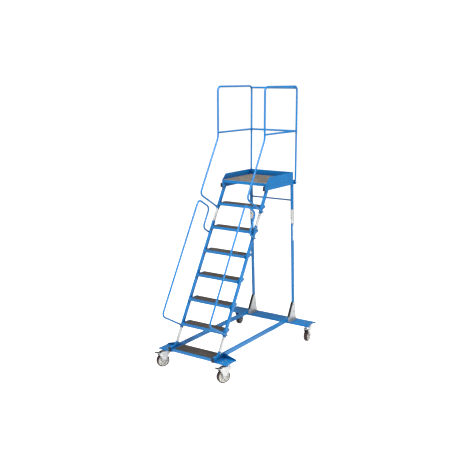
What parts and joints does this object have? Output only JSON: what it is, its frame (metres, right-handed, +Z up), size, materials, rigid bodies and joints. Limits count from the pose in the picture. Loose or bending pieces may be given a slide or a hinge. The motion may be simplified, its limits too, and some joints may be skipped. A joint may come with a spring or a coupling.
{
  "type": "mobile ladder stand",
  "caption": "Steel platform steps on braked swivel castors, with handrails, a guarded standing platform and a bolted frame that comes apart for transport",
  "frame": {"origin": "middle of the footprint's bounding box, on the floor", "axes": "+X to the right of a person climbing, +Y the way that person faces (from the first step to the rear legs), +Z up"},
  "size_m": [1.16, 1.9383, 3.07],
  "materials": {
    "blue_paint": "gloss powder coat",
    "galvanised_steel": "galvanised, matt grey",
    "zinc_plate": "bright zinc plate",
    "tread_rubber": "ribbed, matt",
    "platform_rubber": "ribbed, matt, dusty",
    "tyre_rubber": "matt",
    "wheel_centre": "moulded nylon",
    "black_plastic": "moulded, matt",
    "label_film": "blank film"
  },
  "bodies": {
    "frame": {"base_rail_left": "blue_paint", "base_rail_right": "blue_paint", "front_outrigger_left": "blue_paint", "front_outrigger_right": "blue_paint", "rear_crossbar": "blue_paint", "stile_sockets": "blue_paint", "lower_spigots": "galvanised_steel", "upper_spigots": "galvanised_steel", "stile_mid_left": "blue_paint", "stile_mid_right": "blue_paint", "stile_top_left": "blue_paint", "stile_top_right": "blue_paint", "tread_1": "blue_paint", "tread_2": "blue_paint", "tread_3": "blue_paint", "tread_4": "blue_paint", "tread_5": "blue_paint", "tread_6": "blue_paint", "tread_7": "blue_paint", "tread_mats": "tread_rubber", "platform_deck": "blue_paint", "platform_mat": "platform_rubber", "platform_side_left": "blue_paint", "platform_side_right": "blue_paint", "toe_board_left": "blue_paint", "toe_board_right": "blue_paint", "toe_board_rear": "blue_paint", "guardrail_left": "blue_paint", "guardrail_right": "blue_paint", "guard_mid_rails": "blue_paint", "rear_rails": "blue_paint", "handrail_left": "blue_paint", "handrail_right": "blue_paint", "rear_legs_upper": "blue_paint", "rear_legs_lower": "blue_paint", "leg_sleeves": "galvanised_steel", "leg_feet": "galvanised_steel", "foot_edge_strips": "black_plastic", "leg_tie": "blue_paint", "blank_label": "label_film", "end_plugs": "black_plastic", "frame_bolts": "zinc_plate", "castor_plates": "zinc_plate", "castor_bolts": "zinc_plate"},
    "fork_front_left": {"castor_fork_front_left": "zinc_plate"},
    "wheel_front_left": {"castor_rim_front_left": "wheel_centre", "castor_tyre_front_left": "tyre_rubber"},
    "pedal_front_left": {"castor_pedal_front_left": "zinc_plate"},
    "fork_front_right": {"castor_fork_front_right": "zinc_plate"},
    "wheel_front_right": {"castor_rim_front_right": "wheel_centre", "castor_tyre_front_right": "tyre_rubber"},
    "pedal_front_right": {"castor_pedal_front_right": "zinc_plate"},
    "fork_rear_left": {"castor_fork_rear_left": "zinc_plate"},
    "wheel_rear_left": {"castor_rim_rear_left": "wheel_centre", "castor_tyre_rear_left": "tyre_rubber"},
    "pedal_rear_left": {"castor_pedal_rear_left": "zinc_plate"},
    "fork_rear_right": {"castor_fork_rear_right": "zinc_plate"},
    "wheel_rear_right": {"castor_rim_rear_right": "wheel_centre", "castor_tyre_rear_right": "tyre_rubber"},
    "pedal_rear_right": {"castor_pedal_rear_right": "zinc_plate"}
  },
  "joints": [
    {"name": "swivel_front_left", "type": "hinge", "parent": "frame", "child": "fork_front_left", "pos_m": [-0.41, -0.79604, 0.2], "axis": [0, 0, 1], "continuous": true},
    {"name": "wheel_front_left", "type": "hinge", "parent": "fork_front_left", "child": "wheel_front_left", "pos_m": [-0.43113, -0.83577, 0.075], "axis": [0.8829, -0.4695, 0], "continuous": true},
    {"name": "pedal_front_left", "type": "hinge", "parent": "fork_front_left", "child": "pedal_front_left", "pos_m": [-0.45035, -0.87192, 0.15605], "axis": [0.8829, -0.4695, 0], "range_deg": [0, 8]},
    {"name": "swivel_front_right", "type": "hinge", "parent": "frame", "child": "fork_front_right", "pos_m": [0.41, -0.79604, 0.2], "axis": [0, 0, 1], "continuous": true},
    {"name": "wheel_front_right", "type": "hinge", "parent": "fork_front_right", "child": "wheel_front_right", "pos_m": [0.38818, -0.8354, 0.075], "axis": [0.8746, -0.4848, 0], "continuous": true},
    {"name": "pedal_front_right", "type": "hinge", "parent": "fork_front_right", "child": "pedal_front_right", "pos_m": [0.36834, -0.87121, 0.15605], "axis": [0.8746, -0.4848, 0], "range_deg": [0, 8]},
    {"name": "swivel_rear_left", "type": "hinge", "parent": "frame", "child": "fork_rear_left", "pos_m": [-0.518, 0.82419, 0.2], "axis": [0, 0, 1], "continuous": true},
    {"name": "wheel_rear_left", "type": "hinge", "parent": "fork_rear_left", "child": "wheel_rear_left", "pos_m": [-0.52426, 0.86875, 0.075], "axis": [-0.9903, -0.1392, 0], "continuous": true},
    {"name": "pedal_rear_left", "type": "hinge", "parent": "fork_rear_left", "child": "pedal_rear_left", "pos_m": [-0.52996, 0.90929, 0.15605], "axis": [-0.9903, -0.1392, 0], "range_deg": [0, 8]},
    {"name": "swivel_rear_right", "type": "hinge", "parent": "frame", "child": "fork_rear_right", "pos_m": [0.518, 0.82419, 0.2], "axis": [0, 0, 1], "continuous": true},
    {"name": "wheel_rear_right", "type": "hinge", "parent": "fork_rear_right", "child": "wheel_rear_right", "pos_m": [0.52426, 0.77963, 0.075], "axis": [0.9903, 0.1392, 0], "continuous": true},
    {"name": "pedal_rear_right", "type": "hinge", "parent": "fork_rear_right", "child": "pedal_rear_right", "pos_m": [0.52996, 0.73909, 0.15605], "axis": [0.9903, 0.1392, 0], "range_deg": [0, 8]}
  ]
}
